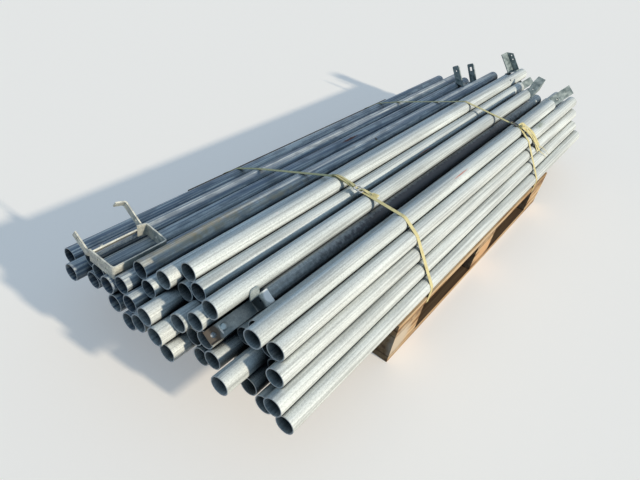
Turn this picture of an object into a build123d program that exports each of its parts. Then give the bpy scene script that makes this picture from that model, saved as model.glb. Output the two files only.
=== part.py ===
from build123d import *
from math import atan2, degrees, hypot, sqrt
import os

# A strapped stack of galvanised steel tubes on a wooden pallet.
# X runs along the tubes, away from the mouths seen first. Y runs from right to left. Z is up.
# The origin is on the floor, under the middle of the pallet. All sizes are in millimetres.

# Tubes
tube_od = 48.3
tube_wall = 2.6
tube_length = 2060.0
post_length = 1860.0
short_length = 1940.0
clearance = 0.3

# Pallet
pallet_length = 1200.0
pallet_width = 800.0
board_thick = 22.0
block_height = 78.0
wide_board = 145.0
narrow_board = 100.0

# Straps
strap_width = 13.0
strap_thick = 0.9
strap_near_inset = 18.0
strap_far_inset = 23.0
buckle_wire = 3.5
buckle_width = 24.0
buckle_length = 30.0

# Folded brackets of flat bar
bracket_thick = 3.0
bracket_width = 34.0
bracket_bend = 4.0
bracket_hole = 13.0
small_hole = 6.0
bolt_head = 17.0
bolt_head_thick = 6.0
web_length = 107.0
plate_length = 30.0
plate_drop = 9.0
riser_height = 40.0
flange_length = 25.0
ear_length = 29.0
ear_height = 30.0
ear_lean = 41.0
front_roll = 34.0
front_shift = 4.2
tongue_length = 45.0
tongue_width = 26.0
bore_lift = 4.0
far_length = 176.0
far_width = 42.0
far_pitch = 11.0
far_roll = 38.0
far_shift = -1.5
middle_length = 122.0
middle_pitch = 2.0
middle_shift = 5.5
strip_length = 18.0
end_length = 30.0
joggle = 9.0
ramp_length = 52.0
ramp_rise = 48.0
ramp_shift = -12.0
crest_length = 45.0
crest_rise = 14.0
cheek_depth = 40.0
pitched_roll = 6.0

# Upright brackets
foot_length = 40.0
upright_width = 30.0
upright_left_back = 123.0
upright_left_height = 90.0
upright_left_lean = 34.0
upright_middle_back = 36.0
upright_middle_height = 88.0
upright_middle_lean = 2.0
upright_slot = 18.0
post_back = 9.0
angle_length = 70.0
angle_flange = 28.0
angle_height = 93.0
angle_cut = 17.0
angle_lean = 6.5
angle_shift = 7.0

# Loose frame bracket: a level U of flat bar on edge and a tilted U bolted across it
bar_thick = 4.0
bar_width = 35.0
bar_bend = 6.0
frame_back = 1.0
frame_length = 156.0
frame_width = 90.0
frame_hole = 9.0
near_arm = 63.0
far_arm = 80.0
arm_width = 21.0
arm_tilt = 34.0
lip_length = 28.0

os.makedirs("parts", exist_ok=True)
tube_r = tube_od / 2
bore_r = tube_r - tube_wall
pitch = tube_od + clearance
deck_top = 3 * board_thick + block_height


def nest(right, left):
    """Centre (y, z) of a tube lying in the groove on top of two others."""
    dy = left[0] - right[0]
    dz = left[1] - right[1]
    span = hypot(dy, dz)
    rise = sqrt(pitch**2 - (span / 2) ** 2)
    mid_y = (left[0] + right[0]) / 2
    mid_z = (left[1] + right[1]) / 2
    return mid_y - dz / span * rise, mid_z + dy / span * rise


def tube(centre, slip, length=tube_length):
    """One tube, its near mouth slipped along X from where a centred full tube would have it."""
    start = slip - tube_length / 2
    ring = Circle(tube_r) - Circle(bore_r)
    return Pos(start, *centre) * (Plane.YZ * extrude(ring, amount=length))


def write(node, shape):
    """Keep one named piece, or one group of like pieces, as its own file."""
    export_step(shape, f"parts/{node}.step")


# Row 1 lies on the deck. Each gap is the free space on a tube's left, in tube pitches.
row_1_gaps = [0.28, 0.11, 0, 0.64, 0.23, 0.01, 0.63, 0.41, 0, 0, 0.18, 0.08, 0]
row_1_slips = [-6, 0, 11, 40, -5, -50, 20, -51, -39, 30, -28, -50, -19]
row_1_z = deck_top + clearance + tube_r
row_1 = []
lay_y = -pallet_width / 2 + tube_r + clearance
for gap in row_1_gaps:
    row_1.append((lay_y, row_1_z))
    lay_y += pitch * (1 + gap)

# Row 2 lies in the grooves of row 1. One of its tubes climbs on its neighbour.
row_2 = [nest(row_1[a], row_1[a + 1]) for a in range(7)]
row_2.append(nest(row_2[6], row_1[7]))
row_2 += [nest(row_1[a], row_1[a + 1]) for a in (8, 9, 10)]
row_2_slips = [-14, 62, -54, -11, 0, -62, -55, -43, -39, -27, -12]

# Row 3 lies in the grooves of row 2, and its seventh tube leans on the sixth.
row_3 = [nest(row_2[a], row_2[a + 1]) for a in range(6)]
row_3.append(nest(row_3[5], row_2[7]))
row_3.append(nest(row_2[7], row_2[8]))
row_3_slips = [17, 62, 60, -6, -24, -57, -9, -30]

# Row 4 lies in the grooves of row 3, and one tube rests between rows 3 and 4.
row_4 = [nest(row_3[a], row_3[a + 1]) for a in range(5)]
row_4.append(nest(row_4[4], row_3[6]))
row_4.append(nest(row_3[6], row_3[7]))
row_4_slips = [40, 62, 127, -13, 31, 8, 5]
row_4_lengths = [tube_length, tube_length, post_length, tube_length, tube_length, tube_length, tube_length]

# Top row
row_5 = [nest(row_4[0], row_4[1]), nest(row_4[2], row_4[3]), nest(row_4[3], row_4[4])]
row_5.append(nest(row_4[4], row_4[5]))
row_5_slips = [11, 4, 32, 43]
row_5_lengths = [post_length, post_length, short_length, tube_length]

write("tubes_row_1", Compound([tube(c, s) for c, s in zip(row_1, row_1_slips)]))
write("tubes_row_2", Compound([tube(c, s) for c, s in zip(row_2, row_2_slips)]))
write("tubes_row_3", Compound([tube(c, s) for c, s in zip(row_3, row_3_slips)]))
write("tubes_row_4", Compound([tube(*t) for t in zip(row_4, row_4_slips, row_4_lengths)]))
write("tubes_row_5", Compound([tube(*t) for t in zip(row_5, row_5_slips, row_5_lengths)]))

# Pallet: three runners on the floor, nine blocks, three cross boards and five deck boards.
cross_x = [-(pallet_length - wide_board) / 2, 0, (pallet_length - wide_board) / 2]
runner_y = [-(pallet_width - narrow_board) / 2, 0, (pallet_width - narrow_board) / 2]
runner_w = [narrow_board, wide_board, narrow_board]
up = (Align.CENTER, Align.CENTER, Align.MIN)
side_up = (Align.MIN, Align.CENTER, Align.MIN)
down = (Align.CENTER, Align.CENTER, Align.MAX)

runners = [
    Pos(0, y, 0) * Box(pallet_length, w, board_thick, align=up) for y, w in zip(runner_y, runner_w)
]
blocks = [
    Pos(x, y, board_thick) * Box(wide_board, w, block_height, align=up)
    for x in cross_x
    for y, w in zip(runner_y, runner_w)
]
cross_boards = [
    Pos(x, 0, board_thick + block_height) * Box(wide_board, pallet_width, board_thick, align=up)
    for x in cross_x
]
deck_w = [wide_board, narrow_board, wide_board, narrow_board, wide_board]
deck_gap = (pallet_width - sum(deck_w)) / (len(deck_w) - 1)
deck_boards = []
edge = -pallet_width / 2
for w in deck_w:
    board = Box(pallet_length, w, board_thick, align=(Align.CENTER, Align.MIN, Align.MIN))
    deck_boards.append(Pos(0, edge, deck_top - board_thick) * board)
    edge += w + deck_gap
write("pallet_runners", Compound(runners))
write("pallet_blocks", Compound(blocks))
write("pallet_cross_boards", Compound(cross_boards))
write("pallet_deck_boards", Compound(deck_boards))

# Straps: each is drawn tight round the pile and under the deck boards.
wrapped = [row_1[0], row_3[0], row_4[0], row_5[0], row_5[1], row_5[3]]
wrapped += [row_4[6], row_2[-1], row_1[-1]]
deck_bottom = deck_top - board_thick


def wrap(offset):
    """Tight outline round the pile and the deck, grown by offset, in the YZ plane."""
    rounds = [Pos(*c) * Edge.make_circle(tube_r + offset) for c in wrapped]
    for y in (-pallet_width / 2, pallet_width / 2):
        rounds += [Pos(y, z) * Edge.make_circle(offset) for z in (deck_bottom, deck_top)]
    return make_hull(rounds)


def strap(x):
    band = wrap(clearance + strap_thick) - wrap(clearance)
    return Pos(x - strap_width / 2, 0, 0) * (Plane.YZ * extrude(band, amount=strap_width))


def on_span(right, left, share, lift):
    """Place on the strap where it spans two tubes, lifted off it: X along the strap's width,
    Y along its run to the left, Z away from the pile."""
    dy = left[0] - right[0]
    dz = left[1] - right[1]
    run = hypot(dy, dz)
    out = tube_r + clearance + strap_thick + lift
    y = right[0] + dy * share - dz / run * out
    z = right[1] + dz * share + dy / run * out
    return Pos(0, y, z) * Rot(degrees(atan2(dz, dy)), 0, 0)


def buckle():
    """Wire buckle: a rounded rectangle of wire with a cross bar."""
    outer = RectangleRounded(buckle_width, buckle_length, buckle_wire * 1.5)
    inner = offset(outer, amount=-buckle_wire)
    bar = Rectangle(buckle_width - buckle_wire, buckle_wire)
    frame = extrude(outer - inner + bar, amount=buckle_wire)
    return fillet(frame.edges().group_by(Axis.Z)[-1], buckle_wire * 0.3)


strap_near_x = wide_board + strap_near_inset - pallet_length / 2
strap_far_x = pallet_length / 2 - wide_board - strap_far_inset
write("strap_near", strap(strap_near_x))
write("strap_far", strap(strap_far_x))
near_seat = on_span(row_5[0], row_5[3], 0.66, clearance)
far_seat = on_span(row_5[0], row_5[3], 0.08, clearance)
write("buckle_near", Pos(strap_near_x, 0, 0) * near_seat * buckle())
write("buckle_far", Pos(strap_far_x, 0, 0) * far_seat * buckle())


def round_bolt():
    """A low round bolt head standing on z 0."""
    head = Cylinder(bolt_head / 2, bolt_head_thick, align=up)
    return fillet(head.edges().group_by(Axis.Z)[-1], bolt_head_thick * 0.4)


def folded(points, width=bracket_width):
    """Flat bar of the brackets' stock folded along a side view in the XZ plane."""
    side = FilletPolyline(*points, radius=bracket_bend)
    return extrude(Plane.XZ * trace(side, bracket_thick), amount=width / 2, both=True)


def drill(diameter, *turn):
    """Cutter for a hole through the brackets' stock, along Z before it is turned."""
    return Rot(*turn) * Cylinder(diameter / 2, 4 * bracket_thick)


def front_bracket():
    """Drooping end plate with low rims, web, riser with a leaning ear, and a flange over the
    tube's crown. The tube's axis is X and its mouth is at x 0."""
    t = bracket_thick
    flange_z = tube_r + clearance + t / 2
    web_z = flange_z - riser_height
    riser_x = -clearance - bracket_bend
    end_x = riser_x - web_length
    body = folded(
        [
            (end_x - plate_length, web_z - plate_drop),
            (end_x, web_z),
            (riser_x, web_z),
            (riser_x, flange_z),
            (riser_x + flange_length, flange_z),
        ]
    )
    body -= Pos(end_x - plate_length * 0.5, 0, web_z - plate_drop * 0.5) * drill(bracket_hole)
    droop = degrees(atan2(plate_drop, plate_length))
    for side in (-1, 1):
        rim = Box(plate_length - t, t / 2, 2 * t, align=(Align.MAX, Align.CENTER, Align.MIN))
        body += Pos(end_x - t / 2, side * (bracket_width / 2 - t / 4), web_z) * Rot(0, -droop, 0) * rim
    tab = Box(ear_length, t, ear_height, align=(Align.MAX, Align.CENTER, Align.MIN))
    tab = fillet(tab.edges().filter_by(Axis.Y).group_by(Axis.Z)[-1], ear_length * 0.3)
    body += Pos(riser_x + t / 2, bracket_width / 2 - t, flange_z - 1.4 * t) * Rot(-ear_lean, 0, 0) * tab
    body -= Pos(riser_x, 2, flange_z - 8) * drill(small_hole, 0, 90, 0)
    body += Pos(end_x + web_length * 0.12, 2, web_z) * round_bolt()
    return body


def tongue(reach):
    """Flat end that lies in a tube's bore and runs on past its mouth at x 0."""
    return Pos(reach, 0, 0) * Box(
        tongue_length + reach, tongue_width, bracket_thick, align=(Align.MAX, Align.CENTER, Align.CENTER)
    )


def far_bracket(length, width, pitch, shift):
    """Tongue, and a straight bar with a joggle and a rounded end plate. The tube's axis is X and
    its mouth is at x 0."""
    t = bracket_thick
    strip_x = length - end_length - strip_length
    side = [(t, 0), (strip_x, 0), (length - end_length, joggle), (length, joggle * 1.3)]
    body = folded(side, width)
    body = fillet(body.edges().filter_by(Axis.Z).group_by(Axis.X)[-1], width * 0.2)
    body -= Pos(strip_x * 0.5, (bracket_width - width) / 2, 0) * drill(bracket_hole)
    return Rot(0, -pitch, 0) * (Pos(0, shift, 0) * body + tongue(2 * t))


def pitched_bracket():
    """Tongue, a ramp with a crest, and a cheek along the ramp's right side."""
    t = bracket_thick
    start = clearance + bracket_bend
    crest_x = ramp_length + crest_length
    crest_z = ramp_rise + crest_rise
    ramp = [(start, 0), (ramp_length, ramp_rise), (crest_x, crest_z)]
    body = folded([(clearance, 0)] + ramp)
    outline = make_face(Polyline(*ramp, (crest_x - cheek_depth * 0.3, ramp_rise * 0.3), close=True))
    body += Pos(0, t - bracket_width / 2, 0) * extrude(Plane.XZ * outline, amount=t)
    body -= Pos(ramp_length * 0.55, 0, ramp_rise * 0.55) * drill(small_hole, 0, -45, 0)
    return Pos(0, ramp_shift, 0) * body + tongue(start)


def upright(height, slot, lean):
    """Angle bracket: a foot that bridges two tubes, and a leaning bar with a narrow lip along its
    right edge and a round hole or a slot near its top."""
    t, width = bracket_thick, upright_width
    foot = Box(foot_length, pitch + 2 * t, t, align=side_up)
    bar = Pos(0, 0, -width) * Box(t, width, height + width, align=side_up)
    bar = fillet(bar.edges().filter_by(Axis.X).group_by(Axis.Z)[-1], width * 0.15)
    bar += Pos(0, -width / 2, -width) * Box(3 * t, t, height * 0.92 + width, align=Align.MIN)
    cut = Box(4 * t, width * 0.34, slot) if slot else drill(small_hole, 0, 90, 0)
    bar -= Pos(t / 2, 0, height - width * 0.8) * cut
    bar = Rot(-lean, 0, 0) * bar - Box(9 * width, 9 * width, 9 * width, align=down)
    return foot + bar


def angle_post():
    """Angle section leaning on a foot that bridges two tubes: a web along X and, across its far
    end, a flange with a sloping top."""
    t = bracket_thick
    length, flange, height = angle_length, angle_flange, angle_height
    web = Box(length, t, height + flange, align=(Align.CENTER, Align.MAX, Align.MIN))
    outline = Polyline(
        (0, 0), (0, height + flange), (-flange, height + flange - angle_cut), (-flange, 0), close=True
    )
    post = web + Pos(length / 2 - t, 0, 0) * extrude(Plane.YZ * make_face(outline), amount=t)
    for share in (0.55, 0.75):
        post -= Pos(length / 2, -flange * 0.6, flange + height * share) * drill(small_hole, 0, 90, 0)
    post = Pos(0, angle_shift, 0) * Rot(-angle_lean, 0, 0) * Pos(0, 0, -flange) * post
    post -= Box(9 * length, 9 * length, 9 * flange, align=down)
    return post + Box(length * 0.6, pitch + 2 * t, t, align=up)


def loose_frame():
    """Level U of flat bar on edge with a lip, and across its open side a tilted U of narrower bar
    whose arms rise to the left. The near right corner of the level U is at the origin."""
    half = bar_thick / 2
    level = FilletPolyline(
        (half, frame_width),
        (half, half),
        (frame_length - half, half),
        (frame_length + 4, frame_width - 6),
        (frame_length - 20, frame_width + 2),
        radius=bar_bend,
    )
    body = extrude(trace(level, bar_thick), amount=bar_width)
    across = (0, 90, 0)
    body -= Pos(half, frame_width * 0.30, bar_width * 0.45) * Rot(*across) * Cylinder(frame_hole / 2, 9)
    body -= Pos(half, frame_width * 0.62, bar_width * 0.65) * Rot(*across) * Cylinder(frame_hole / 2, 9)
    body -= Pos(frame_length, frame_width * 0.5, bar_width * 0.5) * Rot(*across) * Cylinder(
        frame_hole / 2, 20
    )
    raised = FilletPolyline(
        (half, near_arm),
        (half, half),
        (frame_length - half, half),
        (frame_length - half, far_arm),
        (frame_length - lip_length, far_arm + lip_length * 0.25),
        radius=bar_bend,
    )
    hoop = extrude(trace(raised, bar_thick), amount=-arm_width)
    slot = Box(9, arm_width, arm_width * 0.4)
    hoop -= Pos(half, near_arm * 0.62, -arm_width * 0.5) * slot
    hoop -= Pos(frame_length, far_arm * 0.35, -arm_width * 0.5) * Rot(*across) * Cylinder(
        frame_hole / 2, 9
    )
    hoop += Pos(frame_length * 0.25, 0, -arm_width * 0.5) * Rot(-90, 0, 0) * Cylinder(
        frame_hole * 0.6, bar_thick * 2, align=up
    )
    return body + Pos(0, frame_width - 1, bar_width * 0.62) * Rot(arm_tilt, 0, 0) * hoop


def tangent_seat(right, left, share):
    """Place on the plane that touches two tubes from above: Z away from them, Y to the left."""
    return on_span(right, left, share, -strap_thick)


def far_mouth(slip, length):
    return slip - tube_length / 2 + length


# Brackets. Each far one is held by a tongue that lies in its tube's bore.
near_mouth = row_4_slips[2] - tube_length / 2
bracket = Pos(0, -front_shift, 0) * front_bracket()
write("bracket_front", Pos(near_mouth, *row_4[2]) * Rot(front_roll, 0, 0) * bracket)


def at_far_mouth(top_tube, roll, slide):
    x = far_mouth(row_5_slips[top_tube], row_5_lengths[top_tube])
    return Pos(x, *row_5[top_tube]) * Rot(roll, 0, 0) * Pos(0, slide, bore_lift)


slide = sqrt((bore_r - clearance) ** 2 - (bore_lift + bracket_thick / 2) ** 2) - tongue_width / 2
bracket = far_bracket(far_length, far_width, far_pitch, far_shift)
write("bracket_far_right", at_far_mouth(0, far_roll, slide) * bracket)
bracket = far_bracket(middle_length, bracket_width, middle_pitch, middle_shift)
plate = at_far_mouth(2, far_roll, -slide) * bracket
write("bracket_far_middle", Compound([at_far_mouth(1, pitched_roll, 0) * pitched_bracket(), plate]))


def near_far_end(slip, back, right, left):
    """Seat on two tubes, a distance back from the far end of a full tube of that slip."""
    return Pos(far_mouth(slip, tube_length) - back, 0, 0) * tangent_seat(right, left, 0.5)


seat = near_far_end(row_2_slips[9], upright_left_back, row_2[8], row_2[9])
write("upright_left", seat * upright(upright_left_height, 0, upright_left_lean))
seat = near_far_end(row_2_slips[8], upright_middle_back, row_3[7], row_2[8])
write("upright_middle", seat * upright(upright_middle_height, upright_slot, upright_middle_lean))
seat = near_far_end(row_4_slips[5], post_back, row_5[3], row_4[5])
write("channel_bracket", seat * angle_post())
frame_x = row_3_slips[7] - tube_length / 2 - frame_back
frame_y = row_3[7][0] + tube_r + clearance
frame_z = max(row_2[9][1], row_2[8][1]) + tube_r + clearance
write("loose_frame_bracket", Pos(frame_x, frame_y, frame_z) * loose_frame())
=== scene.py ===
import math
import random
import bmesh
import bpy
from mathutils import Matrix, Vector


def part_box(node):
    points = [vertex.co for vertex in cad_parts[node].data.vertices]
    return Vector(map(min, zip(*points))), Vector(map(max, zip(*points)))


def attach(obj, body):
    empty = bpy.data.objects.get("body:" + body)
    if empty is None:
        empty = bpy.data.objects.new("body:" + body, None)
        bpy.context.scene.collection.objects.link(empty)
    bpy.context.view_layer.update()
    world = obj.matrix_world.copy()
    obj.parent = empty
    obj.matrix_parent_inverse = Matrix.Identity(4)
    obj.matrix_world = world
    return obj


# The stack of steel tubes as packed: every piece below is dressed in the place the frame gives it.
# The object is stock lying on a pallet, so nothing on it moves and all of it rides on one body.
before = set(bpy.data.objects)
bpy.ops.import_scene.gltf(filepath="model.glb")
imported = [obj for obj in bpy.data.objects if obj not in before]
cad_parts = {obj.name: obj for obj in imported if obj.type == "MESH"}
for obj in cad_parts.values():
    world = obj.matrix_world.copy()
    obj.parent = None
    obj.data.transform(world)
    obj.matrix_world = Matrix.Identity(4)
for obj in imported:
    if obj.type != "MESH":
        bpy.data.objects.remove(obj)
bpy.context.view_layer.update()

# The camera stands beyond the near right corner of the stack, at about head height, and looks
# down along the tubes. Its axes are those of the photograph: right, down and forward.
camera_data = bpy.data.cameras.new("camera")
camera_data.sensor_width = 36.0
camera_data.lens = 30.58
camera = bpy.data.objects.new("camera", camera_data)
bpy.context.scene.collection.objects.link(camera)
cam_right = Vector((0.6032, -0.7814, 0.1599))
cam_down = Vector((-0.4167, -0.4797, -0.7722))
cam_ahead = Vector((0.6800, 0.3992, -0.6150))
camera_axes = Matrix((cam_right, -cam_down, -cam_ahead)).transposed()
camera.matrix_world = Matrix.Translation((-1.587, -0.693, 1.150)) @ camera_axes.to_4x4()
bpy.context.scene.camera = camera
bpy.context.scene.view_settings.view_transform = "Standard"


# The studio: a floor and a sky that the eye and bright metal see as plain pale paper, a low warm
# lamp from the right, a little above the low sun, and a dim blue sky that fills the shaded sides.
def place(nodes, kind, links=None, **settings):
    """Adds a node, sets its properties, then joins or sets its sockets from a dictionary."""
    node = nodes.new(kind)
    sockets = settings.pop("sockets", {})
    for key, value in settings.items():
        setattr(node, key, value)
    for key, value in sockets.items():
        if isinstance(value, bpy.types.NodeSocket):
            links.new(value, node.inputs[key])
        else:
            node.inputs[key].default_value = value
    return node


def shown_as_paper(nodes, links, lighting, paper, output):
    """Shows the paper to the camera and to reflections, and the lighting shader to all else."""
    path = place(nodes, "ShaderNodeLightPath")
    direct = place(
        nodes, "ShaderNodeMath", links, operation="MAXIMUM",
        sockets={0: path.outputs["Is Camera Ray"], 1: path.outputs["Is Glossy Ray"]},
    )
    seen = place(
        nodes, "ShaderNodeMath", links, operation="MAXIMUM",
        sockets={0: direct.outputs[0], 1: path.outputs["Is Transmission Ray"]},
    )
    choose = place(nodes, "ShaderNodeMixShader", links, sockets={0: seen.outputs[0]})
    links.new(lighting, choose.inputs[1])
    links.new(paper, choose.inputs[2])
    links.new(choose.outputs[0], output)


floor_half = 9.0
floor_corners = [(-floor_half, -floor_half, 0), (floor_half, -floor_half, 0)]
floor_corners += [(floor_half, floor_half, 0), (-floor_half, floor_half, 0)]
floor_mesh = bpy.data.meshes.new("floor")
floor_mesh.from_pydata(floor_corners, [], [(0, 1, 2, 3)])
floor = bpy.data.objects.new("floor", floor_mesh)
bpy.context.scene.collection.objects.link(floor)
floor_paint = bpy.data.materials.new("floor_paint")
floor_paint.use_nodes = True
n, k = floor_paint.node_tree.nodes, floor_paint.node_tree.links
n.clear()
yard = place(n, "ShaderNodeBsdfDiffuse", sockets={"Color": (0.22, 0.19, 0.16, 1)})
pale = place(
    n, "ShaderNodeBsdfPrincipled",
    sockets={
        "Base Color": (0.84, 0.76, 0.66, 1), "Roughness": 0.95, "Specular IOR Level": 0.1,
        "Emission Color": (1.0, 1.0, 1.0, 1), "Emission Strength": 0.26,
    },
)
floor_out = place(n, "ShaderNodeOutputMaterial")
shown_as_paper(n, k, yard.outputs[0], pale.outputs[0], floor_out.inputs["Surface"])
floor_mesh.materials.append(floor_paint)

sky = bpy.data.worlds.new("sky")
bpy.context.scene.world = sky
sky.use_nodes = True
n, k = sky.node_tree.nodes, sky.node_tree.links
n.clear()
blue_fill = place(n, "ShaderNodeBackground", sockets={"Color": (0.40, 0.66, 1.0, 1), "Strength": 0.46})
paper_sky = place(n, "ShaderNodeBackground", sockets={"Color": (0.80, 0.82, 0.84, 1), "Strength": 1.0})
sky_out = place(n, "ShaderNodeOutputWorld")
shown_as_paper(n, k, blue_fill.outputs[0], paper_sky.outputs[0], sky_out.inputs["Surface"])

sun_turn, sun_height = math.radians(6.0), math.radians(25.0)
sun_data = bpy.data.lights.new("sun", "SUN")
sun_data.energy = 3.1
sun_data.angle = math.radians(2.5)
sun_data.color = (1.0, 0.93, 0.80)
sun = bpy.data.objects.new("sun", sun_data)
bpy.context.scene.collection.objects.link(sun)
level = math.cos(sun_height)
to_sun = Vector((math.sin(sun_turn) * level, -math.cos(sun_turn) * level, math.sin(sun_height)))
sun.rotation_euler = to_sun.to_track_quat("Z", "Y").to_euler()


# Steel tubes: round tube, galvanised and sawn square. The zinc is pale, matt, streaked and flecked;
# painted shade lays it blue grey in streaks and blotches on the left, and near black in the gaps and bores.
def new_group(name, inputs, outputs):
    """A shader node group with its named sockets, and its input and output nodes."""
    group = bpy.data.node_groups.new(name, "ShaderNodeTree")
    for label, kind, value in inputs:
        socket = group.interface.new_socket(label, in_out="INPUT", socket_type=kind)
        socket.default_value = value
    for label, kind in outputs:
        group.interface.new_socket(label, in_out="OUTPUT", socket_type=kind)
    return group, group.nodes.new("NodeGroupInput"), group.nodes.new("NodeGroupOutput")


def spread(nodes, links, value, low, high, start, end):
    """Carries a value from one range to another, held at both ends."""
    node = place(
        nodes, "ShaderNodeMapRange", links,
        sockets={"Value": value, "From Min": low, "From Max": high, "To Min": start, "To Max": end},
    )
    return node.outputs[0]


def product(nodes, links, *values):
    """The values multiplied together."""
    total = values[0]
    for value in values[1:]:
        node = place(nodes, "ShaderNodeMath", links, operation="MULTIPLY", sockets={0: total, 1: value})
        total = node.outputs[0]
    return total


def laid_over(nodes, links, mask, under, over):
    """One colour laid over another where the mask is 1."""
    mix = place(nodes, "ShaderNodeMix", data_type="RGBA")
    links.new(mask, mix.inputs[0])
    for socket, colour in ((mix.inputs[6], under), (mix.inputs[7], over)):
        if isinstance(colour, bpy.types.NodeSocket):
            links.new(colour, socket)
        else:
            socket.default_value = (*colour, 1)
    return mix.outputs[2]


def new_material(name):
    """A node material, with its shader, nodes and links."""
    material = bpy.data.materials.new(name)
    material.use_nodes = True
    tree = material.node_tree
    return material, tree.nodes["Principled BSDF"], tree.nodes, tree.links


def dress(name, material):
    """Gives a node of the frame its finish."""
    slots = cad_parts[name].data.materials
    slots.clear()
    slots.append(material)


# Grain drawn out along the axis whose stretch is small.
streaks, begin, finish = new_group(
    "drawn_streaks",
    [("Fineness", "NodeSocketFloat", 60.0), ("Stretch", "NodeSocketVector", (0.05, 1.0, 1.0))],
    [("Value", "NodeSocketFloat")],
)
n, k = streaks.nodes, streaks.links
coords = place(n, "ShaderNodeTexCoord")
drawn = place(
    n, "ShaderNodeVectorMath", k, operation="MULTIPLY",
    sockets={0: coords.outputs["Object"], 1: begin.outputs["Stretch"]},
)
grain = place(
    n, "ShaderNodeTexNoise", k,
    sockets={"Vector": drawn.outputs[0], "Scale": begin.outputs["Fineness"], "Detail": 4.0},
)
k.new(grain.outputs["Fac"], finish.inputs["Value"])


def grain_of(nodes, fineness, stretch):
    """Places the streaks at their own fineness, and gives their value."""
    sockets = {"Fineness": fineness, "Stretch": stretch}
    return place(nodes, "ShaderNodeGroup", node_tree=streaks, sockets=sockets).outputs[0]


# Painted shade where little open air reaches: 1 deep inside a bore or a gap, 0 in the open.
crevice_shading, begin, finish = new_group(
    "painted_crevice_shade",
    [("Open", "NodeSocketFloat", 0.45), ("Closed", "NodeSocketFloat", 0.10)],
    [("Mask", "NodeSocketFloat")],
)
n, k = crevice_shading.nodes, crevice_shading.links
openness = place(n, "ShaderNodeAmbientOcclusion", samples=8, sockets={"Distance": 0.14})
hollow_darkening = place(
    n, "ShaderNodeMapRange", k,
    sockets={
        "Value": openness.outputs["AO"], "From Min": begin.outputs["Closed"],
        "From Max": begin.outputs["Open"], "To Min": 1.0, "To Max": 0.0,
    },
)
k.new(hollow_darkening.outputs[0], finish.inputs["Mask"])


def shade_in_hollows(nodes, open_air, closed_air):
    """Places the painted shade of the hollows with its own limits, and gives its mask."""
    sockets = {"Open": open_air, "Closed": closed_air}
    return place(nodes, "ShaderNodeGroup", node_tree=crevice_shading, sockets=sockets).outputs[0]


# A ragged mark at one place on the object: 1 at its centre and 0 past its reach.
mark, begin, finish = new_group(
    "mark_at",
    [
        ("Centre", "NodeSocketVector", (0.0, 0.0, 0.0)),
        ("Reach", "NodeSocketVector", (0.1, 0.1, 0.1)),
        ("Raggedness", "NodeSocketFloat", 0.5),
        ("Fineness", "NodeSocketFloat", 40.0),
        ("Softness", "NodeSocketFloat", 0.5),
    ],
    [("Mask", "NodeSocketFloat")],
)
n, k = mark.nodes, mark.links
coords = place(n, "ShaderNodeTexCoord")
offset = place(
    n, "ShaderNodeVectorMath", k, operation="SUBTRACT",
    sockets={0: coords.outputs["Object"], 1: begin.outputs["Centre"]},
)
share = place(
    n, "ShaderNodeVectorMath", k, operation="DIVIDE",
    sockets={0: offset.outputs[0], 1: begin.outputs["Reach"]},
)
away = place(n, "ShaderNodeVectorMath", k, operation="LENGTH", sockets={0: share.outputs[0]})
ragged = place(
    n, "ShaderNodeTexNoise", k,
    sockets={"Vector": coords.outputs["Object"], "Scale": begin.outputs["Fineness"], "Detail": 5.0},
)
centred = place(n, "ShaderNodeMath", k, operation="SUBTRACT", sockets={0: ragged.outputs["Fac"], 1: 0.5})
shifted = place(
    n, "ShaderNodeMath", k, operation="MULTIPLY_ADD",
    sockets={0: centred.outputs[0], 1: begin.outputs["Raggedness"], 2: away.outputs["Value"]},
)
within = place(n, "ShaderNodeMath", k, operation="SUBTRACT", sockets={0: 1.0, 1: shifted.outputs[0]})
faded = place(
    n, "ShaderNodeMath", k, operation="DIVIDE", use_clamp=True,
    sockets={0: within.outputs[0], 1: begin.outputs["Softness"]},
)
k.new(faded.outputs[0], finish.inputs["Mask"])


mm_per_m = 1000


def marked(nodes, links, under, marks):
    """Lays each mark's colour over the one below: centre and reach in mm, colour, edge values."""
    for centre, reach, colour, raggedness, fineness, softness in marks:
        spot = place(
            nodes, "ShaderNodeGroup", node_tree=mark,
            sockets={
                "Centre": [c / mm_per_m for c in centre], "Reach": [r / mm_per_m for r in reach],
                "Raggedness": raggedness, "Fineness": fineness, "Softness": softness,
            },
        )
        under = laid_over(nodes, links, spot.outputs[0], under, colour)
    return under


along_x = (0.012, 1.0, 1.0)
# Blue grey colours of the painted shade on the left side of the stack.
left_shade_grey, left_shade_dark = (0.20, 0.245, 0.30), (0.15, 0.18, 0.21)
# The second colour here is the near black of the painted shade inside the bores and in the gaps.
fresh_cut, bore_shade_black = (0.62, 0.64, 0.62), (0.012, 0.015, 0.018)
rows = 5
zinc, steel, n, k = new_material("zinc_tube")
geometry = place(n, "ShaderNodeNewGeometry")
coords = place(n, "ShaderNodeTexCoord")
tone = place(n, "ShaderNodeValToRGB", k, sockets={"Fac": geometry.outputs["Random Per Island"]})
tone.color_ramp.elements[0].color = (0.59, 0.62, 0.59, 1)
tone.color_ramp.elements[1].color = (0.75, 0.76, 0.70, 1)
tone.color_ramp.elements.new(0.5).color = (0.68, 0.70, 0.65, 1)
long_streaks = grain_of(n, 190.0, along_x)
flecks = grain_of(n, 420.0, (0.55, 1, 1))
clouds = grain_of(n, 22.0, (0.22, 1, 1))
wear = product(
    n, k,
    spread(n, k, long_streaks, 0.36, 0.60, 0.70, 1.10),
    spread(n, k, flecks, 0.34, 0.60, 0.84, 1.08),
    spread(n, k, clouds, 0.32, 0.68, 0.90, 1.06),
)
worn = place(n, "ShaderNodeVectorMath", k, operation="SCALE", sockets={0: tone.outputs[0], "Scale": wear})
axes = place(n, "ShaderNodeSeparateXYZ", k, sockets={0: coords.outputs["Object"]})
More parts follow.
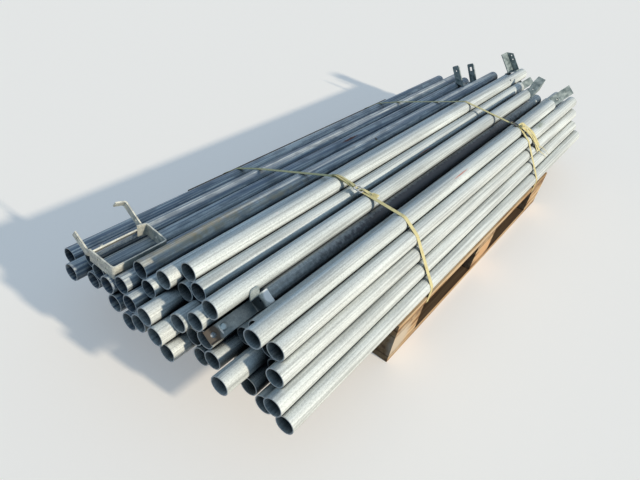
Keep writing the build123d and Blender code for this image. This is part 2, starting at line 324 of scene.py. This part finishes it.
# Painted shade: the tubes on the left, which lie in the shade of those to their right, are laid blue grey in
# streaks and blotches.
left_side = spread(n, k, axes.outputs["Y"], 0.025, 0.06, 0.0, 1.0)
shade_streaks = spread(n, k, long_streaks, 0.40, 0.58, 1.0, 0.15)
streak_shaded = laid_over(n, k, product(n, k, left_side, shade_streaks), worn.outputs[0], left_shade_grey)
blotches = grain_of(n, 48.0, (0.30, 1, 1))
blotched = spread(n, k, blotches, 0.50, 0.62, 0.0, 0.55)
blotch_shaded = laid_over(n, k, product(n, k, left_side, blotched), streak_shaded, left_shade_dark)
faces = place(n, "ShaderNodeSeparateXYZ", k, sockets={0: geometry.outputs["True Normal"]})
end_on = place(n, "ShaderNodeMath", k, operation="ABSOLUTE", sockets={0: faces.outputs["X"]})
sawn = spread(n, k, end_on.outputs[0], 0.90, 0.98, 0.0, 1.0)
cut = laid_over(n, k, sawn, blotch_shaded, fresh_cut)
tube_marks = (
    ((-11, -97.7, 316.5), (60, 2.4, 2.4), (0.52, 0.16, 0.11), 1.4, 260.0, 0.6),
    ((-85, -262.0, 338.5), (60, 2.4, 2.4), (0.55, 0.20, 0.15), 1.4, 260.0, 0.6),
    ((-18, 190.0, 233.0), (64, 6.0, 4.5), (0.10, 0.035, 0.03), 1.0, 90.0, 0.6),
    ((-50, 71.5, 297.0), (8, 8.0, 6.0), (0.09, 0.09, 0.08), 0.6, 200.0, 0.5),
    ((872.4, -46.8, 344.7), (8, 5.0, 5.0), (0.04, 0.045, 0.05), 0.4, 200.0, 0.4),
    ((-699.8, -34.3, 349.3), (7, 3.0, 3.0), (0.86, 0.80, 0.74), 0.4, 200.0, 0.5),
    ((258.4, -235.1, 332.0), (18, 9.0, 8.0), (0.22, 0.23, 0.18), 1.2, 160.0, 0.8),
    ((604.0, -293.7, 312.4), (60, 15.0, 8.0), (0.40, 0.43, 0.33), 1.6, 120.0, 0.9),
    ((-870, 84.0, 292.0), (330, 30.0, 16.0), (0.40, 0.33, 0.20), 1.3, 50.0, 0.8),
    ((-560, 60.0, 296.0), (150, 20.0, 10.0), (0.46, 0.40, 0.28), 1.5, 60.0, 0.8),
    # Painted shade: the low tube in the gap between the middle and the right tubes is laid dark along its
    # whole length.
    ((-20, -172.0, 286.0), (1250, 22.0, 19.0), (0.105, 0.105, 0.11), 0.3, 90.0, 0.25),
)
with_marks = marked(n, k, cut, tube_marks)
# Painted shade: near black laid inside the bores and in the gaps between tubes, where little open air
# reaches.
hollow_shade_mask = shade_in_hollows(n, 0.46, 0.16)
hollow_shaded = laid_over(n, k, hollow_shade_mask, with_marks, bore_shade_black)
# Painted light: a pale pool of light on the tube seen through the hole in the front bracket's end plate.
sunlit_spot_mark = ((-1028, -155.5, 254.0), (20, 14.0, 12.0), (0.95, 0.95, 0.92), 0.1, 60.0, 0.3)
k.new(marked(n, k, hollow_shaded, (sunlit_spot_mark,)), steel.inputs["Base Color"])
k.new(spread(n, k, clouds, 0.3, 0.7, 0.46, 0.66), steel.inputs["Roughness"])
steel.inputs["Metallic"].default_value = 0.10
steel.inputs["Specular IOR Level"].default_value = 0.30
dents = place(
    n, "ShaderNodeBump", k, sockets={"Strength": 0.22, "Distance": 0.0008, "Height": flecks}
)
k.new(dents.outputs[0], steel.inputs["Normal"])
for row in range(1, rows + 1):
    dress(f"tubes_row_{row}", zinc)


# Pallet: rough sawn softwood boards nailed to blocks, worn to an orange tan. The grain runs along
# each board, the sawn ends are browner and dirt lines the joints. Painted shade darkens the left
# edge and the hollows between the boards.
board_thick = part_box("pallet_runners")[1][2]
block_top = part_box("pallet_blocks")[1][2]
board_joints = (board_thick, block_top, block_top + board_thick)
joint_half = 0.0016
# The middle colour is the dark grey brown of the painted shade on the left edge.
end_brown, left_edge_shade_colour, joint_brown = (0.34, 0.23, 0.14), (0.085, 0.07, 0.055), (0.07, 0.04, 0.02)
wood_marks = (
    ((-565, -400.0, 62.0), (75, 20.0, 60.0), (0.66, 0.54, 0.40), 0.5, 70.0, 0.5),
    ((10, -400.0, 62.0), (80, 20.0, 46.0), (0.72, 0.43, 0.22), 0.8, 90.0, 0.5),
    ((-60, -400.0, 130.0), (260, 16.0, 9.0), (0.66, 0.50, 0.33), 1.2, 60.0, 0.8),
)


def plank_wood(name, stretch, axis):
    """Softwood whose grain runs along one axis, named by its letter."""
    material, timber, nodes, links = new_material(name)
    fibres = grain_of(nodes, 260.0, stretch)
    rings = grain_of(nodes, 46.0, stretch)
    surface = place(nodes, "ShaderNodeNewGeometry")
    both = place(
        nodes, "ShaderNodeMath", links, operation="MULTIPLY_ADD",
        sockets={0: fibres, 1: 0.55, 2: rings},
    )
    plank = place(
        nodes, "ShaderNodeMath", links, operation="MULTIPLY_ADD",
        sockets={0: surface.outputs["Random Per Island"], 1: 0.14, 2: both.outputs[0]},
    )
    colour = place(nodes, "ShaderNodeValToRGB", links, sockets={"Fac": plank.outputs[0]})
    colour.color_ramp.elements[0].position = 0.70
    colour.color_ramp.elements[0].color = (0.17, 0.085, 0.040, 1)
    colour.color_ramp.elements[1].position = 0.98
    colour.color_ramp.elements[1].color = (0.74, 0.53, 0.31, 1)
    colour.color_ramp.elements.new(0.82).color = (0.50, 0.30, 0.145, 1)
    facing = place(nodes, "ShaderNodeSeparateXYZ", links, sockets={0: surface.outputs["True Normal"]})
    across = place(nodes, "ShaderNodeMath", links, operation="ABSOLUTE", sockets={0: facing.outputs[axis]})
    sawn_end = spread(nodes, links, across.outputs[0], 0.8, 0.95, 0.0, 0.5)
    ended = laid_over(nodes, links, sawn_end, colour.outputs[0], end_brown)
    where = place(nodes, "ShaderNodeTexCoord")
    places = place(nodes, "ShaderNodeSeparateXYZ", links, sockets={0: where.outputs["Object"]})
    # Painted shade: the left edge of the pallet, beyond the tubes, is laid dark grey brown.
    left_edge_shade_mask = spread(nodes, links, places.outputs["Y"], 0.345, 0.36, 0.0, 0.85)
    scuffed = marked(nodes, links, ended, wood_marks)
    edge_shade_and_joints = laid_over(nodes, links, left_edge_shade_mask, scuffed, left_edge_shade_colour)
    for height in board_joints:
        above = place(
            nodes, "ShaderNodeMath", links, operation="SUBTRACT", sockets={0: places.outputs["Z"], 1: height}
        )
        apart = place(nodes, "ShaderNodeMath", links, operation="ABSOLUTE", sockets={0: above.outputs[0]})
        lined = spread(nodes, links, apart.outputs[0], joint_half / 2, joint_half, 0.9, 0.0)
        edge_shade_and_joints = laid_over(nodes, links, lined, edge_shade_and_joints, joint_brown)
    # Painted shade: dark brown laid where the boards and blocks lie close to each other and to the tubes.
    hollow_darkening = shade_in_hollows(nodes, 0.62, 0.05)
    shaded = product(nodes, links, hollow_darkening, 0.85)
    stains_and_painted_light = laid_over(nodes, links, shaded, edge_shade_and_joints, (0.06, 0.035, 0.018))
    links.new(stains_and_painted_light, timber.inputs["Base Color"])
    timber.inputs["Roughness"].default_value = 0.85
    timber.inputs["Specular IOR Level"].default_value = 0.2
    rough_sawn = place(
        nodes, "ShaderNodeBump", links, sockets={"Strength": 0.6, "Distance": 0.002, "Height": fibres}
    )
    links.new(rough_sawn.outputs[0], timber.inputs["Normal"])
    return material


long_plank = plank_wood("pallet_wood_long", (0.04, 1.0, 1.0), "X")
cross_plank = plank_wood("pallet_wood_cross", (1.0, 0.04, 1.0), "Y")
for name in ("pallet_runners", "pallet_blocks", "pallet_deck_boards"):
    dress(name, long_plank)
dress("pallet_cross_boards", cross_plank)


# Nails: round flat heads driven flush where a deck board crosses a cross board, three to a wide
# board and two to a narrow one, dull grey steel gone a little brown.
def finished_piece(name, shape, material):
    """Turns a bmesh into a piece that rides on the stack, shaded smooth all over."""
    mesh = bpy.data.meshes.new(name)
    shape.to_mesh(mesh)
    shape.free()
    piece = bpy.data.objects.new(name, mesh)
    bpy.context.scene.collection.objects.link(piece)
    mesh.materials.append(material)
    mesh.shade_smooth()
    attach(piece, "root")
    return piece


nail_steel, dull, n, k = new_material("nail_steel")
blotches = grain_of(n, 300.0, (1, 1, 1))
rusted = spread(n, k, blotches, 0.45, 0.60, 0.0, 1.0)
k.new(laid_over(n, k, rusted, (0.30, 0.30, 0.30), (0.20, 0.09, 0.04)), dull.inputs["Base Color"])
dull.inputs["Roughness"].default_value = 0.55
dull.inputs["Metallic"].default_value = 0.5

deck_low, deck_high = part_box("pallet_deck_boards")
wide_board, narrow_board = 0.145, 0.100
nail_radius, nail_rise, nail_sides = 0.0042, 0.00022, 14
deck_widths = [wide_board, narrow_board, wide_board, narrow_board, wide_board]
deck_gap = (deck_high[1] - deck_low[1] - sum(deck_widths)) / (len(deck_widths) - 1)
cross_span = (deck_high[0] - deck_low[0] - wide_board) / 2
chance = random.Random(7)
heads = bmesh.new()
edge = deck_low[1]
for width in deck_widths:
    across_board = (0.22, 0.5, 0.78) if width == wide_board else (0.28, 0.72)
    for step in (-1, 0, 1):
        for share in across_board:
            x = step * cross_span + chance.uniform(-0.028, 0.028)
            y = edge + share * width + chance.uniform(-0.006, 0.006)
            rim = []
            for turn in range(nail_sides):
                angle = 2 * math.pi * turn / nail_sides
                flat = (x + nail_radius * math.cos(angle), y + nail_radius * math.sin(angle))
                rim.append(heads.verts.new((*flat, deck_high[2] + 0.00004)))
            crown = heads.verts.new((x, y, deck_high[2] + nail_rise))
            for first, second in zip(rim, rim[1:] + rim[:1]):
                heads.faces.new((first, second, crown))
    edge += width + deck_gap
finished_piece("pallet_nails", heads, nail_steel)

# Straps: pale yellow polyester webbing, drawn tight round the heap and the deck. Its cords run
# lengthwise and the cross threads show as a fine rib; dust has browned it in patches, and painted
# shade darkens it where it bends and lies close to other parts.
weave, cloth, n, k = new_material("strap_weave")
coords = place(n, "ShaderNodeTexCoord")
axes = place(n, "ShaderNodeSeparateXYZ", k, sockets={0: coords.outputs["Object"]})
sideways = place(n, "ShaderNodeMath", k, operation="ABSOLUTE", sockets={0: axes.outputs["Y"]})
run = place(
    n, "ShaderNodeMath", k, operation="SUBTRACT",
    sockets={0: sideways.outputs[0], 1: axes.outputs["Z"]},
)
cord_pitch, rib_pitch = 0.0016, 0.0022


def ridges(value, pitch):
    """Waves from 0 to 1 along a value, one for each pitch."""
    turned = product(n, k, value, 2 * math.pi / pitch)
    wave = place(n, "ShaderNodeMath", k, operation="SINE", sockets={0: turned})
    return spread(n, k, wave.outputs[0], -1.0, 1.0, 0.0, 1.0)


cords = ridges(axes.outputs["X"], cord_pitch)
ribs = ridges(run.outputs[0], rib_pitch)
threads = product(n, k, cords, ribs)
dusty = grain_of(n, 90.0, (1, 1, 1))
thread_tone = laid_over(n, k, threads, (0.74, 0.62, 0.29), (0.92, 0.83, 0.47))
brown = spread(n, k, dusty, 0.52, 0.74, 0.0, 0.6)
with_marks = laid_over(n, k, brown, thread_tone, (0.42, 0.32, 0.15))
# Painted shade: the webbing is darkened where it bends and lies close against the tubes and deck.
hollow_shade_mask = shade_in_hollows(n, 0.35, 0.02)
k.new(laid_over(n, k, product(n, k, hollow_shade_mask, 0.6), with_marks, (0.12, 0.10, 0.05)), cloth.inputs["Base Color"])
cloth.inputs["Roughness"].default_value = 0.8
cloth.inputs["Specular IOR Level"].default_value = 0.2
woven = place(n, "ShaderNodeBump", k, sockets={"Strength": 0.5, "Distance": 0.0003, "Height": threads})
k.new(woven.outputs[0], cloth.inputs["Normal"])
for name in ("strap_near", "strap_far"):
    dress(name, weave)


# Strap ends: at each buckle the spare webbing is twisted, knotted and left lying on the tubes. The
# near one is a twisted pair with a folded tail, the far one a knot with three tails and two threads.
def webbing(shape, route, width, thickness, outward):
    """Sweeps a flat band along a smooth route; each point is x, y, z and the band's turn."""
    steps, sides, squareness = 6, 12, 0.45
    points = [Vector(p) for p in route]
    ends = [points[0]] + points + [points[-1]]
    line = []
    for a, b, c, d in zip(ends, ends[1:], ends[2:], ends[3:]):
        for i in range(steps):
            t = i / steps
            bend = (2 * a - 5 * b + 4 * c - d) * t**2 + (3 * b - a - 3 * c + d) * t**3
            line.append((2 * b + (c - a) * t + bend) / 2)
    line.append(points[-1])
    up = Vector(outward)
    loops = []
    for i, here in enumerate(line):
        before, after = line[max(i - 1, 0)], line[min(i + 1, len(line) - 1)]
        ahead = (after - before).to_3d().normalized()
        up = (up - ahead * up.dot(ahead)).normalized()
        turn = Matrix.Rotation(math.radians(here[3]), 3, ahead)
        loop = []
        for j in range(sides):
            angle = 2 * math.pi * j / sides
            u = math.copysign(abs(math.cos(angle)) ** squareness, math.cos(angle)) * width / 2
            v = math.copysign(abs(math.sin(angle)) ** squareness, math.sin(angle)) * thickness / 2
            spot = here.to_3d() + turn @ (ahead.cross(up) * u + up * v)
            loop.append(shape.verts.new(spot / mm_per_m))
        loops.append(loop)
    for one, other in zip(loops, loops[1:]):
        for j in range(sides):
            shape.faces.new((one[j], one[j - 1], other[j - 1], other[j]))
    shape.faces.new(loops[0][::-1])
    shape.faces.new(loops[-1])


near_x = mm_per_m * (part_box("strap_near")[0][0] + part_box("strap_near")[1][0]) / 2
far_x = mm_per_m * (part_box("strap_far")[0][0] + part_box("strap_far")[1][0]) / 2

pair = bmesh.new()
pair_line = [(-13, 347.8), (-26, 353.2), (-40, 354.4), (-54, 353.7), (-68, 352.8), (-82, 351.9), (-93, 351.0)]
for half in (0, 180):
    wound = []
    for i, (y, z) in enumerate(pair_line):
        swing = math.radians(24 * i + half - 30)
        wound.append((near_x + 3.6 * math.cos(swing), y, z + 1.5 * math.sin(swing), 10 * i - 30))
    webbing(pair, wound, 8.4, 1.8, (0, 0, 1))
finished_piece("strap_near_twist", pair, weave)

fold = bmesh.new()
fold_line = [(0, -111, 350.2, 0), (3, -121, 352.4, -6), (6, -133, 349.8, 6), (8, -146, 347.4, 12)]
fold_line += [(11, -158, 346.0, 10), (13, -164, 347.2, 8), (10, -160, 349.6, 4), (6, -148, 350.6, -6)]
fold_line = [(near_x + x, y, z, turn) for x, y, z, turn in fold_line]
webbing(fold, fold_line, 11.0, 0.9, (0, 0, 1))
finished_piece("strap_near_tail", fold, weave)

knot = bmesh.new()
knot_middle = Vector((far_x + 5, -265, 345.5))
knot_down, knot_out = Vector((0, -0.9, -0.43)), Vector((0, -0.43, 0.9))
knot_size, knot_points = 3.6, 18
knot_line = []
for i in range(knot_points + 1):
    t = 2 * math.pi * i / knot_points
    spot = knot_middle + Vector((1, 0, 0)) * knot_size * (math.sin(t) + 2 * math.sin(2 * t))
    spot += knot_down * knot_size * (math.cos(t) - 2 * math.cos(2 * t))
    spot += knot_out * -2.3 * math.sin(3 * t)
    knot_line.append((*spot, 0))
webbing(knot, knot_line, 6.6, 2.6, knot_out)
finished_piece("strap_far_knot", knot, weave)

tails = bmesh.new()
tail_lines = (
    (12.0, 1.3, [(8, -268, 344, 0), (20, -284, 333, 40), (36, -305, 318, -15), (54, -323, 294, 30),
                (70, -338, 270, 5), (84, -347, 253, 20)]),
    (10.0, 1.3, [(2, -271, 343, 20), (13, -289, 329, -30), (29, -308, 314, 10), (46, -324, 289, -25),
                (60, -337, 268, 15), (70, -346, 250, 0)]),
    (10.5, 1.3, [(-3, -257, 347, 0), (14, -262, 351, 25), (32, -279, 340, -20), (50, -301, 322, 25),
                (66, -321, 299, -10), (80, -339, 272, 10)]),
    (2.0, 1.0, [(82, -346, 255, 0), (102, -356, 240, 30), (126, -367, 226, 0), (142, -371, 214, 0)]),
    (2.0, 1.0, [(79, -338, 274, 0), (112, -347, 256, 30), (148, -362, 235, 0), (170, -372, 214, 0)]),
)
for width, thickness, line in tail_lines:
    placed = [(far_x + x, y, z, turn) for x, y, z, turn in line]
    webbing(tails, placed, width, thickness, (0, -0.6, 0.8))
finished_piece("strap_far_tails", tails, weave)

# Brackets: folded from galvanised flat bar, bright where the bar rubbed, with painted shade in their
# hollows. The loose frame is still clean. The front bracket has a stained end plate that also carries
# painted shade, painted shade on its riser and painted highlights on its fold edge and flange; those
# at the far ends have gone grey green.
def bar_zinc(name, dull, bright, marks):
    """Zinc on flat bar, clouded from one tone to the other and flecked, with its own marks."""
    material, flat_bar, nodes, links = new_material(name)
    patina = grain_of(nodes, 60.0, (0.5, 1, 1))
    specks = grain_of(nodes, 300.0, (1, 1, 1))
    clouded = laid_over(nodes, links, spread(nodes, links, patina, 0.34, 0.64, 0.0, 1.0), dull, bright)
    speck = spread(nodes, links, specks, 0.36, 0.62, 0.82, 1.08)
    flecked = place(
        nodes, "ShaderNodeVectorMath", links, operation="SCALE", sockets={0: clouded, "Scale": speck}
    )
    stains_and_painted_light = marked(nodes, links, flecked.outputs[0], marks)
    # Painted shade: near black laid where the bar lies in hollows and close against other parts.
    hollow_darkening = shade_in_hollows(nodes, 0.40, 0.04)
    shaded = product(nodes, links, hollow_darkening, 0.8)
    links.new(laid_over(nodes, links, shaded, stains_and_painted_light, (0.05, 0.055, 0.055)), flat_bar.inputs["Base Color"])
    links.new(spread(nodes, links, patina, 0.3, 0.7, 0.32, 0.52), flat_bar.inputs["Roughness"])
    flat_bar.inputs["Metallic"].default_value = 0.22
    rolled = place(
        nodes, "ShaderNodeBump", links,
        sockets={"Strength": 0.15, "Distance": 0.0006, "Height": specks},
    )
    links.new(rolled.outputs[0], flat_bar.inputs["Normal"])
    return material


front_marks = (
    # The end plate: dark brown, partly stain and partly painted shade.
    ((-1034, -160.0, 262.0), (24, 34.0, 26.0), (0.075, 0.060, 0.045), 0.3, 90.0, 0.3),
    # Painted highlight: a pale line on the fold edge of the end plate.
    ((-1010.6, -162.0, 264.0), (2.8, 14.0, 11.0), (0.92, 0.90, 0.82), 0.1, 60.0, 0.3),
    ((-1005.6, -161.9, 270.5), (9, 9.0, 7.0), (0.66, 0.78, 0.78), 0.2, 90.0, 0.3),
    # Painted shade: dark on the riser at the bracket's far end.
    ((-908, -168.0, 281.0), (8, 30.0, 22.0), (0.07, 0.10, 0.11), 0.2, 60.0, 0.3),
    # Painted highlight: pale on the flange at the top of the riser.
    ((-889, -184.0, 298.0), (16, 24.0, 14.0), (0.92, 0.95, 0.93), 0.2, 60.0, 0.3),
)
dress("bracket_front", bar_zinc("zinc_front", (0.28, 0.34, 0.34), (0.56, 0.60, 0.56), front_marks))
dress("loose_frame_bracket", bar_zinc("zinc_clean", (0.50, 0.49, 0.42), (0.90, 0.86, 0.71), ()))
dulled_zinc = bar_zinc("zinc_dulled", (0.13, 0.17, 0.165), (0.38, 0.43, 0.40), ())
for name in ("bracket_far_right", "bracket_far_middle", "upright_left", "upright_middle", "channel_bracket"):
    dress(name, dulled_zinc)

# Buckles: bent from round wire, each locks the webbing where it doubles back. The near one is
# bright zinc and the far one has gone dark.
for name, worn_wire in (("buckle_near", (0.74, 0.75, 0.72)), ("buckle_far", (0.10, 0.10, 0.10))):
    wire, shine, n, k = new_material(f"{name}_wire")
    rubbed = grain_of(n, 320.0, (1, 1, 1))
    dull_spot = spread(n, k, rubbed, 0.45, 0.65, 0.0, 0.7)
    k.new(laid_over(n, k, dull_spot, worn_wire, (0.16, 0.13, 0.10)), shine.inputs["Base Color"])
    shine.inputs["Roughness"].default_value = 0.38
    shine.inputs["Metallic"].default_value = 0.5
    dress(name, wire)
